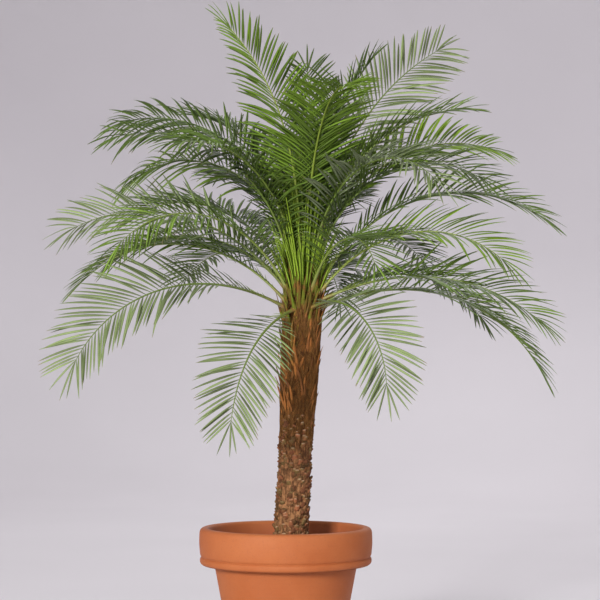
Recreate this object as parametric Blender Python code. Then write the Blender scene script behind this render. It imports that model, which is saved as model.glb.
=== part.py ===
"""Phoenix palm in a clay pot, as separate closed solids, in metres with +Z up.

The origin is the middle of the pot's flat underside. The plant faces -Y and its trunk leans
a little towards +X. Fronds stand round the tapered top of the trunk: each is a thin blade along
an arched rib, cut to the rib between its leaflets. A frond that arches far is two solids.
"""

import math

import bpy
import numpy as np
from mathutils.bvhtree import BVHTree

GAP = 0.0003

# Pot, turned about the vertical axis
POT_HEIGHT = 0.345
POT_SIDES = 32
RIM_RADIUS = 0.200
RIM_HEIGHT = 0.083
RIM_WALL = 0.023
RIM_ROUND = 0.012
BEAD_DEPTH = 0.003
BEAD_HEIGHT = 0.010
BODY_RADIUS = 0.165
BASE_RADIUS = 0.114
BODY_WALL = 0.015
FLOOR_THICKNESS = 0.020
SOIL_LEVEL = 0.290

# Trunk, from the flat cut on the soil to the tip of its tapered heart
TRUNK_FOOT_X = 0.0105
TRUNK_LEAN = 0.051
TRUNK_SIDES = 16
TRUNK_RING_STEP = 0.021
FLARE_RADIUS = 0.047
FLARE_HEIGHT = 0.035
TRUNK_RADIUS = 0.0375
SHOULDER_RADIUS = 0.0415
CROWN_RADIUS = 0.0445
CROWN_LEVEL = 0.850
HEART_TIP_LEVEL = 1.005
HEART_TIP_RADIUS = 0.006
STUB_RELIEF = 0.0045
STUB_TOP_LEVEL = 0.580
SHOULDER_LEVEL = 0.650
FIBRE_RELIEF = 0.0015

# Frond rule: how the rib bends and how the leaflets stand on it
BEND_POWER = 1.2
SWEEP_POWER = 1.5
BARE_SHARE = 0.16
SPLIT_SHARE = 0.56
SPLIT_TURN = 96.0
RIB_STEPS = 96
PETIOLE_SHARES = (0.0, 0.45 * BARE_SHARE)
LEAFLET_PAIRS = 18
LEAF_SHARES = tuple(BARE_SHARE + (1.0 - BARE_SHARE) * step / LEAFLET_PAIRS
                    for step in range(LEAFLET_PAIRS + 1))
LEAFLET_LENGTH = 0.163
FULL_FROND_LENGTH = 0.60
LEAFLET_GROWTH = 0.3
LEAFLET_ANGLE_BASE = 62.0
LEAFLET_ANGLE_TIP = 40.0
LEAFLET_LIFT = 20.0
LEAFLET_FALL = 0.16
LEAFLET_TIP_DEPTH = 0.0016
TIP_BLADE = 0.085
FOOT_WIDTH = 0.013
RIB_WIDTH = 0.0075
RIB_TIP_WIDTH = 0.0035
FOOT_DEPTH = 0.0060
RIB_DEPTH = 0.0030
RIB_TIP_DEPTH = 0.0020
RIDGE_SHARE = 0.6

# What a leaflet keeps to the solids round it, and what is tried before it is left out
CLEARANCE = 0.0008
TRIAL_LIFTS = (0.0, 14.0, -14.0, 28.0)
TRIAL_LENGTHS = (1.0, 0.8, 0.62, 0.45)
FOOT_STEP = 0.5 * GAP

# Fronds that show from the front: bearing of the foot (0 is +X, 90 is the back), height of the
# foot, rise at the foot, turn down to the tip, length, sweep of the bearing, roll of the blade
FRONT_FRONDS = (
    (240, 0.845, -15, 58, 0.40, 8, -25),
    (300, 0.850, 14, 100, 0.39, 10, 35),
    (206, 0.850, 26, 88, 0.58, 0, -45),
    (8, 0.852, 24, 82, 0.575, -6, 20),
    (346, 0.868, 24, 64, 0.53, 4, 28),
    (176, 0.865, 50, 92, 0.53, 0, -15),
    (338, 0.880, 52, 94, 0.50, 0, 30),
    (218, 0.875, 60, 104, 0.54, 0, -30),
    (188, 0.885, 54, 81, 0.56, 0, -45),
    (356, 0.900, 61, 92, 0.595, 0, 25),
    (258, 0.905, 86, 38, 0.62, -67, 15),
    (160, 0.888, 50, 80, 0.49, 0, -30),
    (302, 0.890, 62, 118, 0.35, -10, 0),
    (332, 0.914, 80, 112, 0.54, 6, 30),
    (306, 0.928, 80, 122, 0.54, 8, 20),
    (212, 0.910, 81, 93, 0.58, -20, -35),
    (192, 0.952, 83, 92, 0.585, -22, -40),
    (172, 0.925, 85, 114, 0.56, -18, -30),
    (2, 0.928, 78, 90, 0.585, 16, 40),
    (15, 0.954, 82, 50, 0.64, 6, 70),
    (282, 0.953, 88, 102, 0.59, 0, 0),
    (346, 0.984, 89, 36, 0.47, 12, 0),
    (231, 0.930, 77, 90, 0.50, -8, -20),
    (170, 0.992, 98, 14, 0.42, 0, 75),
    (334, 0.945, 81, 77, 0.53, 14, 25),
)

# Fronds on the far side, by rule: each is one step round from the last and stands steeper
BACK_COUNT = 12
BACK_FIRST_BEARING = 32.0
BACK_BEARING_STEP = 47.0
BACK_SPREAD = 120.0


def clear_scene():
    """Remove every object of the start-up scene."""
    for item in list(bpy.data.objects):
        bpy.data.objects.remove(item, do_unlink=True)


def material(name, colour, roughness):
    """A plain Principled BSDF material."""
    made = bpy.data.materials.new(name)
    made.use_nodes = True
    shader = made.node_tree.nodes["Principled BSDF"]
    shader.inputs["Base Color"].default_value = (*colour, 1.0)
    shader.inputs["Roughness"].default_value = roughness
    shader.inputs["Metallic"].default_value = 0.0
    return made


def add_object(name, points, faces, look, smooth=False):
    """One named object from points and faces."""
    mesh = bpy.data.meshes.new(name)
    mesh.from_pydata([tuple(map(float, point)) for point in points], [], faces)
    mesh.materials.append(look)
    if smooth:
        mesh.shade_smooth()
        mesh.set_sharp_from_angle(angle=math.radians(40))
    mesh.validate()
    item = bpy.data.objects.new(name, mesh)
    bpy.context.scene.collection.objects.link(item)
    return item


def turned_solid(profile, sides):
    """Points and faces of a closed profile (radius, height) turned about Z.

    The profile starts and ends on the axis and runs outwards along the underside first.
    """
    points = []
    rings = []
    for radius, height in profile:
        if radius == 0.0:
            rings.append([len(points)])
            points.append((0.0, 0.0, height))
            continue
        rings.append(list(range(len(points), len(points) + sides)))
        for side in range(sides):
            angle = 2.0 * math.pi * side / sides
            points.append((radius * math.cos(angle), radius * math.sin(angle), height))
    faces = []
    for low, high in zip(rings, rings[1:]):
        for side in range(sides):
            nxt = (side + 1) % sides
            if len(low) == 1:
                faces.append((low[0], high[nxt], high[side]))
            elif len(high) == 1:
                faces.append((low[side], low[nxt], high[0]))
            else:
                faces.append((low[side], low[nxt], high[nxt], high[side]))
    return points, faces


def inner_radius(height):
    """Radius of the pot's inside at a height: a straight wall that opens towards the rim."""
    floor_radius = BASE_RADIUS - BODY_WALL
    neck_height = POT_HEIGHT - RIM_HEIGHT
    neck_radius = BODY_RADIUS - BODY_WALL
    mouth_radius = RIM_RADIUS - RIM_WALL
    return float(np.interp(height, (FLOOR_THICKNESS, neck_height, POT_HEIGHT),
                           (floor_radius, neck_radius, mouth_radius)))


def pot_profile():
    """The pot's section: underside, tapered body, beaded rim, round crest and inside wall."""
    neck_height = POT_HEIGHT - RIM_HEIGHT
    profile = [(0.0, 0.0), (BASE_RADIUS, 0.0), (BODY_RADIUS, neck_height)]
    profile.append((RIM_RADIUS - BEAD_DEPTH, neck_height))
    profile.append((RIM_RADIUS - 0.3 * BEAD_DEPTH, neck_height + 0.4 * BEAD_HEIGHT))
    profile.append((RIM_RADIUS - BEAD_DEPTH, neck_height + BEAD_HEIGHT))
    crest_middle = POT_HEIGHT - RIM_ROUND
    for step in range(4):
        turn = math.radians(90.0 * step / 3)
        profile.append((RIM_RADIUS - RIM_ROUND * (1.0 - math.cos(turn)),
                        crest_middle + RIM_ROUND * math.sin(turn)))
    profile.append((inner_radius(POT_HEIGHT), POT_HEIGHT))
    profile.append((inner_radius(neck_height), neck_height))
    profile.append((inner_radius(FLOOR_THICKNESS), FLOOR_THICKNESS))
    profile.append((0.0, FLOOR_THICKNESS))
    return profile


def soil_profile():
    """The filling's section: one gap inside the pot, flat on top."""
    bottom = FLOOR_THICKNESS + GAP
    facet_gap = 2.0 * GAP
    neck_height = POT_HEIGHT - RIM_HEIGHT
    return [
        (0.0, bottom),
        (inner_radius(bottom) - facet_gap, bottom),
        (inner_radius(neck_height) - facet_gap, neck_height),
        (inner_radius(SOIL_LEVEL) - facet_gap, SOIL_LEVEL),
        (0.0, SOIL_LEVEL),
    ]


def trunk_centre(height):
    """Where the leaning trunk's axis is at a height."""
    return np.array((TRUNK_FOOT_X + TRUNK_LEAN * (height - SOIL_LEVEL), 0.0, height))


def trunk_radius(height):
    """Radius of the trunk without its relief: flare, slim shaft, shoulder, crown, tapered heart."""
    heights = (SOIL_LEVEL, SOIL_LEVEL + FLARE_HEIGHT, STUB_TOP_LEVEL, SHOULDER_LEVEL, CROWN_LEVEL,
               0.5 * (CROWN_LEVEL + HEART_TIP_LEVEL), HEART_TIP_LEVEL)
    radii = (FLARE_RADIUS, 1.06 * TRUNK_RADIUS, TRUNK_RADIUS, SHOULDER_RADIUS, CROWN_RADIUS,
             0.66 * CROWN_RADIUS, HEART_TIP_RADIUS)
    return float(np.interp(height, heights, radii))


def trunk_relief(ring, side, height):
    """How far a point of the trunk stands out: old leaf stubs low down, flat fibre above."""
    if ring == 0 or height > CROWN_LEVEL - 0.01:
        return 0.0
    stands_out = 1.0 if (ring + 2 * side) % 4 == 0 else -0.35
    return stands_out * (STUB_RELIEF if height < STUB_TOP_LEVEL else FIBRE_RELIEF)


def trunk_mesh():
    """Points and faces of the trunk, ring by ring, each ring turned half a facet on."""
    bottom = SOIL_LEVEL + GAP
    rings = round((HEART_TIP_LEVEL - bottom) / TRUNK_RING_STEP)
    points = []
    for ring in range(rings + 1):
        height = bottom + (HEART_TIP_LEVEL - bottom) * ring / rings
        centre = trunk_centre(height)
        for side in range(TRUNK_SIDES):
            angle = 2.0 * math.pi * (side + 0.5 * (ring % 2)) / TRUNK_SIDES
            radius = trunk_radius(height) + trunk_relief(ring, side, height)
            points.append(centre + radius * np.array((math.cos(angle), math.sin(angle), 0.0)))
    faces = [tuple(range(TRUNK_SIDES - 1, -1, -1))]
    for ring in range(rings):
        low = ring * TRUNK_SIDES
        high = low + TRUNK_SIDES
        for side in range(TRUNK_SIDES):
            nxt = (side + 1) % TRUNK_SIDES
            if ring % 2 == 0:
                faces.append((low + side, low + nxt, high + side))
                faces.append((low + nxt, high + nxt, high + side))
            else:
                faces.append((low + side, high + nxt, high + side))
                faces.append((low + side, low + nxt, high + nxt))
    top = rings * TRUNK_SIDES
    faces.append(tuple(range(top, top + TRUNK_SIDES)))
    return points, faces


def back_fronds():
    """Rows for the far side of the crown, low and flat ones first and steep ones last."""
    rows = []
    for order in range(BACK_COUNT):
        share = order / (BACK_COUNT - 1)
        turn = (order * BACK_BEARING_STEP) % BACK_SPREAD
        rows.append((BACK_FIRST_BEARING + turn, 0.855 + 0.120 * share, 36 + 48 * share,
                     80 - 16 * share, 0.53, 0, 0))
    return tuple(rows)


class Rib:
    """One frond's rib: its axis and the frame that turns along it.

    The rise falls as the share of the length to BEND_POWER and the bearing turns as it to
    SWEEP_POWER. The points are the running sum of the direction over the length.
    """

    def __init__(self, row):
        bearing, foot_height, rise, turn, length, sweep, roll = row
        self.length = length
        self.turn = turn
        self.share = np.linspace(0.0, 1.0, RIB_STEPS + 1)
        rises = np.radians(rise - turn * self.share ** BEND_POWER)
        bearings = np.radians(bearing + sweep * self.share ** SWEEP_POWER)
        flat = np.stack((np.cos(bearings), np.sin(bearings), 0.0 * bearings), axis=1)
        self.along = flat * np.cos(rises)[:, None]
        self.along[:, 2] = np.sin(rises)
        radius = trunk_radius(foot_height)
        foot = trunk_centre(foot_height) + radius * flat[0]
        middles = 0.5 * (self.along[1:] + self.along[:-1]) * length / RIB_STEPS
        self.points = np.vstack((foot, foot + np.cumsum(middles, axis=0)))
        left = np.stack((-np.sin(bearings), np.cos(bearings), 0.0 * bearings), axis=1)
        up = np.cross(self.along, left)
        rolls = np.radians(roll) * np.minimum(1.0, 2.0 * self.share)[:, None]
        self.left = left * np.cos(rolls) + up * np.sin(rolls)
        self.up = up * np.cos(rolls) - left * np.sin(rolls)

    def at(self, share):
        """Point, direction, left and up at a share of the length."""
        found = []
        for rows in (self.points, self.along, self.left, self.up):
            found.append(np.array([np.interp(share, self.share, rows[:, k]) for k in range(3)]))
        return found

    def section(self, share):
        """Five points of the rib's section: upper left, ridge, upper right, lower right and left."""
        point, along, left, up = self.at(share)
        shares = (0.0, BARE_SHARE, 1.0)
        half = 0.5 * np.interp(share, shares, (FOOT_WIDTH, RIB_WIDTH, RIB_TIP_WIDTH))
        depth = np.interp(share, shares, (FOOT_DEPTH, RIB_DEPTH, RIB_TIP_DEPTH))
        high = 0.5 * depth * up
        ridge = (0.5 + RIDGE_SHARE) * depth * up
        return np.array((point + half * left + high, point + ridge, point - half * left + high,
                         point - half * left - high, point + half * left - high))


def leaflet_length(reach):
    """Length of a leaflet at a share of the leafy stretch: longest at a third, short at the tip."""
    rising = 0.30 + 0.70 * math.sin(0.5 * math.pi * min(reach / 0.35, 1.0))
    return LEAFLET_LENGTH * rising * (1.0 - 0.48 * reach ** 3)


def leaflet_tip(rib, share, hand, lift, scale):
    """Where a leaflet ends: out at an angle to the rib, lifted, and bent down by its weight."""
    reach = (share - BARE_SHARE) / (1.0 - BARE_SHARE)
    point, along, left, up = rib.at(share)
    angle = math.radians(LEAFLET_ANGLE_BASE + (LEAFLET_ANGLE_TIP - LEAFLET_ANGLE_BASE) * reach)
    rise = math.radians(LEAFLET_LIFT + lift)
    outward = hand * left * math.cos(rise) + up * math.sin(rise)
    direction = along * math.cos(angle) + outward * math.sin(angle)
    size = (rib.length / FULL_FROND_LENGTH) ** LEAFLET_GROWTH
    length = scale * size * leaflet_length(reach)
    fall = np.array((0.0, 0.0, -LEAFLET_FALL * length))
    return point + length * direction + fall, np.cross(direction, hand * along)


def blade_faces(hand):
    """Faces of a thin blade from its base (4 points) to its tip edge (2 points)."""
    faces = [(0, 1, 4), (2, 3, 5), (3, 0, 4, 5), (1, 2, 5, 4)]
    return faces if hand > 0 else [face[::-1] for face in faces]


def blade_points(base, tip, normal, room):
    """A blade's six points, its base and tip widened by the room that it keeps."""
    normal = normal / np.linalg.norm(normal)
    middle = base.mean(axis=0)
    grown = base + room * (base - middle) / np.linalg.norm(base - middle, axis=1)[:, None]
    half = (0.5 * LEAFLET_TIP_DEPTH + room) * normal
    if np.dot(base[0] - base[3], normal) < 0.0:
        half = -half
    reach = room * (tip - middle) / np.linalg.norm(tip - middle)
    return np.vstack((grown, tip + reach + half, tip + reach - half))


def mesh_tree(solids):
    """A search tree over the faces of several (points, faces) solids."""
    points = []
    faces = []
    for solid_points, solid_faces in solids:
        start = len(points)
        points.extend(tuple(map(float, point)) for point in solid_points)
        faces.extend(tuple(start + corner for corner in face) for face in solid_faces)
    return BVHTree.FromPolygons(points, faces)


def rib_faces(rings):
    """Faces of a closed strip through rings of five points, with flat ends."""
    faces = [(4, 3, 2, 1, 0)]
    for ring in range(rings - 1):
        low = 5 * ring
        high = low + 5
        for corner in range(5):
            nxt = (corner + 1) % 5
            faces.append((low + corner, low + nxt, high + nxt, high + corner))
    last = 5 * (rings - 1)
    faces.append(tuple(last + corner for corner in range(5)))
    return faces


def foot_ring(rib, trunk_tree):
    """The frond's foot, cut to the trunk's surface and one gap clear of it."""
    along = rib.at(0.0)[1]
    ring = []
    for corner in rib.section(0.0):
        start = corner + 0.5 * BARE_SHARE * rib.length * along
        hit, normal = trunk_tree.ray_cast(tuple(start), tuple(-along))[:2]
        if hit is None:
            ring.append(corner)
            continue
        slope = max(0.2, float(np.dot(normal, along)))
        ring.append(np.array(hit) + 1.2 * GAP / slope * along)
    ring = np.array(ring)
    next_ring = rib.section(PETIOLE_SHARES[1])
    while mesh_tree([(np.vstack((ring - GAP * along, next_ring)), rib_faces(2))]).overlap(trunk_tree):
        ring = ring + FOOT_STEP * along
    return ring


def rib_pieces(rib, trunk_tree):
    """The rib's rings, in one list for each solid: a frond that arches far is cut at its bend."""
    rings = [foot_ring(rib, trunk_tree), rib.section(PETIOLE_SHARES[1])]
    pieces = [rings]
    cut = min(range(len(LEAF_SHARES)), key=lambda k: abs(LEAF_SHARES[k] - SPLIT_SHARE))
    half_gap = 0.6 * GAP / rib.length
    for order, share in enumerate(LEAF_SHARES):
        if order == cut and rib.turn > SPLIT_TURN:
            rings.append(rib.section(share - half_gap))
            rings = [rib.section(share + half_gap)]
            pieces.append(rings)
        else:
            rings.append(rib.section(share))
    return pieces


def leaflet_base(low_ring, high_ring, hand):
    """The four points that a leaflet stands on: upper near, upper far, lower far, lower near."""
    upper, lower = (0, 4) if hand > 0 else (2, 3)
    return np.array((low_ring[upper], high_ring[upper], high_ring[lower], low_ring[lower]))


def fit_leaflet(rib, share, hand, base, others):
    """Tip edge of the longest trial leaflet that keeps clear of the others, or None."""
    for scale in TRIAL_LENGTHS:
        for lift in TRIAL_LIFTS:
            tip, normal = leaflet_tip(rib, share, hand, lift, scale)
            room = blade_points(base, tip, normal, CLEARANCE)
            if not mesh_tree([(room, blade_faces(hand))]).overlap(others):
                return blade_points(base, tip, normal, 0.0)
    return None


def leaflet_faces(hand, low, high, tip):
    """Faces of a leaflet between two rings, where the rib's side face would be."""
    if hand > 0:
        return [(low, high, tip), (high + 4, low + 4, tip + 1),
                (low, tip, tip + 1, low + 4), (high, high + 4, tip + 1, tip)]
    return [(high + 2, low + 2, tip), (low + 3, high + 3, tip + 1),
            (low + 2, low + 3, tip + 1, tip), (high + 2, tip, tip + 1, high + 3)]


def blade_solid(rings, leaflets, tip):
    """Points and faces of one frond solid: the strip, its leaflets and, at the end, its tip."""
    points = [point for ring in rings for point in ring]
    faces = [(4, 3, 2, 1, 0)]
    for order in range(len(rings) - 1):
        low = 5 * order
        high = low + 5
        faces.append((low, low + 1, high + 1, high))
        faces.append((low + 1, low + 2, high + 2, high + 1))
        faces.append((low + 3, low + 4, high + 4, high + 3))
        for hand, corner, nxt in ((1, 4, 0), (-1, 2, 3)):
            blade = leaflets.get((order, hand))
            if blade is None:
                faces.append((low + corner, low + nxt, high + nxt, high + corner))
                continue
            faces.extend(leaflet_faces(hand, low, high, len(points)))
            points.extend(blade[4:])
    last = 5 * (len(rings) - 1)
    if tip is None:
        faces.append(tuple(last + corner for corner in range(5)))
    else:
        upper = len(points)
        points.extend(tip)
        faces += [(last, last + 1, upper), (last + 1, last + 2, upper),
                  (last + 2, last + 3, upper + 1, upper), (last + 3, last + 4, upper + 1),
                  (last + 4, last, upper, upper + 1)]
    return points, faces


def frond_solids(rib, pieces, others):
    """The frond's one or two solids, with every leaflet that fits among the others."""
    solids = []
    passed = 0
    for number, rings in enumerate(pieces):
        leaflets = {}
        bare = len(PETIOLE_SHARES) if number == 0 else 0
        for order in range(bare, len(rings) - 1):
            share = 0.5 * (LEAF_SHARES[passed] + LEAF_SHARES[passed + 1])
            passed += 1
            for hand in (1, -1):
                base = leaflet_base(rings[order], rings[order + 1], hand)
                blade = fit_leaflet(rib, share, hand, base, others)
                if blade is not None:
                    leaflets[(order, hand)] = blade
        tip = None
        if number == len(pieces) - 1:
            point, along, left, up = rib.at(1.0)
            fall = np.array((0.0, 0.0, -LEAFLET_FALL * TIP_BLADE))
            end = point + TIP_BLADE * along + fall
            tip = (end + 0.5 * LEAFLET_TIP_DEPTH * up, end - 0.5 * LEAFLET_TIP_DEPTH * up)
        solids.append(blade_solid(rings, leaflets, tip))
    return solids


def build_fronds(trunk, look):
    """Every frond: all the ribs are set out first, then leaflets go on frond by frond."""
    trunk_tree = mesh_tree([trunk])
    ribs = [Rib(row) for row in FRONT_FRONDS + back_fronds()]
    pieces = [rib_pieces(rib, trunk_tree) for rib in ribs]
    solids = []
    for frond in pieces:
        solids.append([(np.vstack(rings), rib_faces(len(rings))) for rings in frond])
    for order, rib in enumerate(ribs):
        around = [solid for other, group in enumerate(solids) if other != order
                  for solid in group]
        others = mesh_tree([trunk] + around)
        solids[order] = frond_solids(rib, pieces[order], others)
        for part, (points, faces) in enumerate(solids[order]):
            name = f"frond_{order + 1:02d}" + ("_end" if part else "")
            add_object(name, points, faces, look)


def build():
    """The whole plant: pot, filling, trunk and fronds."""
    clear_scene()
    clay = material("terracotta", (0.53, 0.15, 0.048), 0.75)
    earth = material("potting_soil", (0.030, 0.018, 0.011), 0.95)
    bark = material("palm_bark", (0.10, 0.060, 0.038), 0.9)
    green = material("frond_green", (0.09, 0.20, 0.045), 0.55)
    points, faces = turned_solid(pot_profile(), POT_SIDES)
    add_object("pot", points, faces, clay, smooth=True)
    points, faces = turned_solid(soil_profile(), POT_SIDES)
    add_object("soil", points, faces, earth)
    trunk = trunk_mesh()
    add_object("trunk", trunk[0], trunk[1], bark)
    build_fronds(trunk, green)


build()
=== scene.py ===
"""Phoenix palm in a clay pot: the finished surfaces, built over the fixed solids, in metres.

Every shape is a formula of two parameters worked out as whole arrays: a profile turned about the
pot's axis, a sheet of bark round the leaning trunk, a rib carried along each frond's arched line,
and one long folded blade for each leaflet. The fronds follow the rule of the solids, with more
and finer leaflets.
"""

import math

import bpy
import numpy as np
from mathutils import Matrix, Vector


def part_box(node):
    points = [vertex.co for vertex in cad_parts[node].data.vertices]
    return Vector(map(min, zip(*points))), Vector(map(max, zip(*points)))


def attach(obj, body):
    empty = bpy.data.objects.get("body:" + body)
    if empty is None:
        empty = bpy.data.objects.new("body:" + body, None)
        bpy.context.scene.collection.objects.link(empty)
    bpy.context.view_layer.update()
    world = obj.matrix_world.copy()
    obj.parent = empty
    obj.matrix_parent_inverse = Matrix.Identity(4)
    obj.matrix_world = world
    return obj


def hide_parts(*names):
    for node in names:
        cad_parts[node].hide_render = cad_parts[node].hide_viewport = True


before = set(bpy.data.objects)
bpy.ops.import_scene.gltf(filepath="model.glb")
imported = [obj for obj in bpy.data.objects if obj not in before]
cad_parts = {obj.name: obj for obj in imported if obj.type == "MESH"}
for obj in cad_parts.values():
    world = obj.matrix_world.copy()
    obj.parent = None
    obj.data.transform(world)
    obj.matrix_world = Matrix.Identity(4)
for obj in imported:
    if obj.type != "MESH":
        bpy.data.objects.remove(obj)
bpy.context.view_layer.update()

bl_info = {
    "name": "Potted Phoenix Palm",
    "version": (1, 0, 0),
    "blender": (4, 5, 0),
    "location": "3D View > Sidebar > Palm",
    "description": "Builds a feather-leaved palm in a clay pot, piece by piece",
    "category": "Add Mesh",
}

BODY = "root"

# Places read from the solids
_, POT_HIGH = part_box("pot")
_, SOIL_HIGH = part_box("soil")
_, TRUNK_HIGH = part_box("trunk")
POT_HEIGHT = POT_HIGH.z
RIM_RADIUS = POT_HIGH.x
SOIL_LEVEL = SOIL_HIGH.z
HEART_TIP_LEVEL = TRUNK_HIGH.z

# Pot section
RIM_HEIGHT = 0.083
RIM_WALL = 0.023
RIM_ROUND = 0.012
GROOVE_DEPTH = 0.0062
BODY_RADIUS = 0.165
BASE_RADIUS = 0.114
BODY_WALL = 0.015
FLOOR_THICKNESS = 0.020

# Damp and painted shade on the inner wall: how far under the edge it starts, and over what height
# it darkens
DAMP_SHADE_START = 0.003
DAMP_SHADE_FADE = 0.016

# Trunk
TRUNK_FOOT_X = 0.0105
TRUNK_LEAN = 0.051
FLARE_RADIUS = 0.042
FLARE_HEIGHT = 0.035
TRUNK_RADIUS = 0.0375
SHOULDER_RADIUS = 0.0415
CROWN_RADIUS = 0.0445
CROWN_LEVEL = 0.850
STUB_TOP_LEVEL = 0.580
SHOULDER_LEVEL = 0.650
HEART_TIP_RADIUS = 0.006

# Bark: where the old, knobby bark ends, over what height it turns into the young, slabby one,
# the resolution of its surface, and how deep its unevennesses are
OLD_BARK_LEVEL = 0.50
BARK_CHANGE = 0.14
BARK_ROWS = 400
BARK_COLUMNS = 168
KNOB_DEPTH = 0.0030
SLAB_DEPTH = 0.0022
RIBBING_DEPTH = 0.0009
PIT_DEPTH = 0.0007
BARK_SETBACK = 0.0015

# Specular level of bark, fibres and leaflets
DULL_SHEEN = 0.16

# Frond rule, the same as the solids'
BEND_POWER = 1.2
SWEEP_POWER = 1.5
BARE_SHARE = 0.16
LEAFLET_LENGTH = 0.163
FULL_FROND_LENGTH = 0.60
LEAFLET_GROWTH = 0.3
LEAFLET_ANGLE_BASE = 62.0
LEAFLET_ANGLE_TIP = 40.0
LEAFLET_LIFT = 20.0
LEAFLET_FALL = 0.16

# Fronds that show from the front: bearing of the foot (0 is +X, 90 is the back), height of the
# foot, rise at the foot, turn down to the tip, length, sweep of the bearing, roll of the blade
FRONT_FRONDS = (
    (240, 0.845, -15, 58, 0.40, 8, -25),
    (300, 0.850, 14, 100, 0.39, 10, 35),
    (206, 0.850, 26, 88, 0.58, 0, -45),
    (8, 0.852, 24, 82, 0.575, -6, 20),
    (346, 0.868, 24, 64, 0.53, 4, 28),
    (176, 0.865, 50, 92, 0.53, 0, -15),
    (338, 0.880, 52, 94, 0.50, 0, 30),
    (218, 0.875, 60, 104, 0.54, 0, -30),
    (188, 0.885, 54, 81, 0.56, 0, -45),
    (356, 0.900, 61, 92, 0.595, 0, 25),
    (258, 0.905, 86, 38, 0.62, -67, 15),
    (160, 0.888, 50, 80, 0.49, 0, -30),
    (302, 0.890, 62, 118, 0.35, -10, 0),
    (332, 0.914, 80, 112, 0.54, 6, 30),
    (306, 0.928, 80, 122, 0.54, 8, 20),
    (212, 0.910, 81, 93, 0.58, -20, -35),
    (192, 0.952, 83, 92, 0.585, -22, -40),
    (172, 0.925, 85, 114, 0.56, -18, -30),
    (2, 0.928, 78, 90, 0.585, 16, 40),
    (15, 0.954, 82, 50, 0.64, 6, 70),
    (282, 0.953, 88, 102, 0.59, 0, 0),
    (346, 0.984, 89, 36, 0.47, 12, 0),
    (231, 0.930, 77, 90, 0.50, -8, -20),
    (170, 0.992, 98, 14, 0.42, 0, 75),
    (334, 0.945, 81, 77, 0.53, 14, 25),
)

# Fronds on the far side, by rule
BACK_COUNT = 12
BACK_FIRST_BEARING = 32.0
BACK_BEARING_STEP = 47.0
BACK_SPREAD = 120.0
BACK_LENGTH = 0.53

# Height of the foot, rise and turn of the first of them, and their change up to the last
BACK_FIRST = (0.855, 36.0, 80.0)
BACK_CHANGE = (0.120, 48.0, -16.0)

# Points along a rib, and how its section changes from the foot to the tip
RIB_STEPS = 96
RIB_SHARES = np.linspace(0.0, 1.0, RIB_STEPS + 1)
RIB_PLACES = np.array((0.0, 0.025, 0.07, 0.16, 0.5, 0.9, 1.0))
RIB_WIDTHS = np.array((0.0170, 0.0130, 0.0082, 0.0066, 0.0044, 0.0024, 0.0013))
RIB_DEPTHS = np.array((0.0105, 0.0080, 0.0060, 0.0050, 0.0036, 0.0021, 0.0012))
RIB_CORNERS = 10

# Points along a leaflet, and its width and fold there as shares of the widest and the set fold
LEAF_SHARES = np.array((0.0, 0.05, 0.14, 0.28, 0.44, 0.60, 0.75, 0.88, 0.96, 1.0))
LEAF_WIDTHS = np.array((0.34, 0.52, 0.76, 0.96, 1.0, 0.94, 0.78, 0.50, 0.24, 0.04))
LEAF_FOLDS = np.array((2.2, 1.8, 1.4, 1.15, 1.0, 0.95, 0.9, 0.9, 0.9, 0.9))
LEAF_THICKNESS = 0.0007
STEEPEST_FOLD = math.radians(72)

# Where on the blade the leaflets reach full length, how much they shorten at the tip, and to
# which side each of the three at the very tip turns
FULL_LEAFLET_REACH = 0.35
TIP_SHORTENING = 0.48
TIP_HANDS = (0.35, -0.35, 0.02)

# How unevenly leaflets stand: spread of their angle, lift and twist in degrees, and of their bow
ANGLE_SCATTER = 2.4
LIFT_SCATTER = 5.0
TWIST_SCATTER = 7.0
BOW_SCATTER = 0.025

# Fronds in pieces: name, first and last number, and how close and how wide the leaflets are next
# to the settings
LEAF_GROUPS = (
    ("leaflets_low", 1, 9, 0.94, 0.84),
    ("leaflets_middle", 10, 18, 0.84, 0.92),
    ("leaflets_top", 19, 25, 0.84, 0.92),
    ("leaflets_far", 26, 37, 0.70, 0.92),
)

# Fronds whose solids come in two parts
TWO_PART_FRONDS = (2, 8, 13, 14, 15, 18, 21)

# Fronds whose leaflets have a spacing other than their group's
OWN_CLOSENESS = {1: 0.78, 2: 0.74, 3: 0.84, 11: 0.72, 17: 0.74, 20: 0.92, 21: 0.63, 23: 0.74,
                 24: 0.72}

# Fronds whose leaflets hang more or less than the rest's
OWN_DROOP = {1: 0.45, 2: 0.5, 3: 0.7, 8: 1.5, 12: 1.6, 16: 1.9, 17: 1.7, 18: 2.2, 23: 1.9}

# Fronds whose leaflets stand more or less evenly than the rest's
OWN_SCATTER = {1: 0.7, 2: 0.7, 3: 0.8, 11: 1.1, 14: 1.5, 15: 1.5, 16: 1.4, 17: 1.5, 18: 1.4,
               21: 1.4, 23: 1.6}

# Which green each front frond wears, in the table's order: 0 deep (painted shade), 1 mid, 2 fresh,
# 3 pale (partly painted sheen)
FRONT_GREENS = (3, 3, 3, 1, 1, 1, 2, 1, 3, 1, 2, 1, 1, 0, 3, 0, 0, 1, 2, 3, 2, 0, 1, 0, 1)

# The rib's tint for each of these greens, from dark to yellow
STALK_TINTS = (0.15, 0.60, 0.90, 0.30)

# Points along a dead leaf base, the corners of its section, and a fibre's points and taper
BASE_SHARES = np.array((0.0, 0.3, 0.6, 0.88, 1.0))
BASE_CORNERS = 8
FIBRE_SHARES = np.linspace(0.0, 1.0, 6)
FIBRE_TAPER = np.array((0.4, 1.0, 1.0, 1.0, 0.9, 0.3))

# Points along a crumb of soil, its taper and the corners of its section
CRUMB_SHARES = np.array((-0.85, -0.3, 0.35, 0.9))
CRUMB_TAPER = np.array((0.45, 0.95, 0.9, 0.4))
CRUMB_CORNERS = 5

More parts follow.
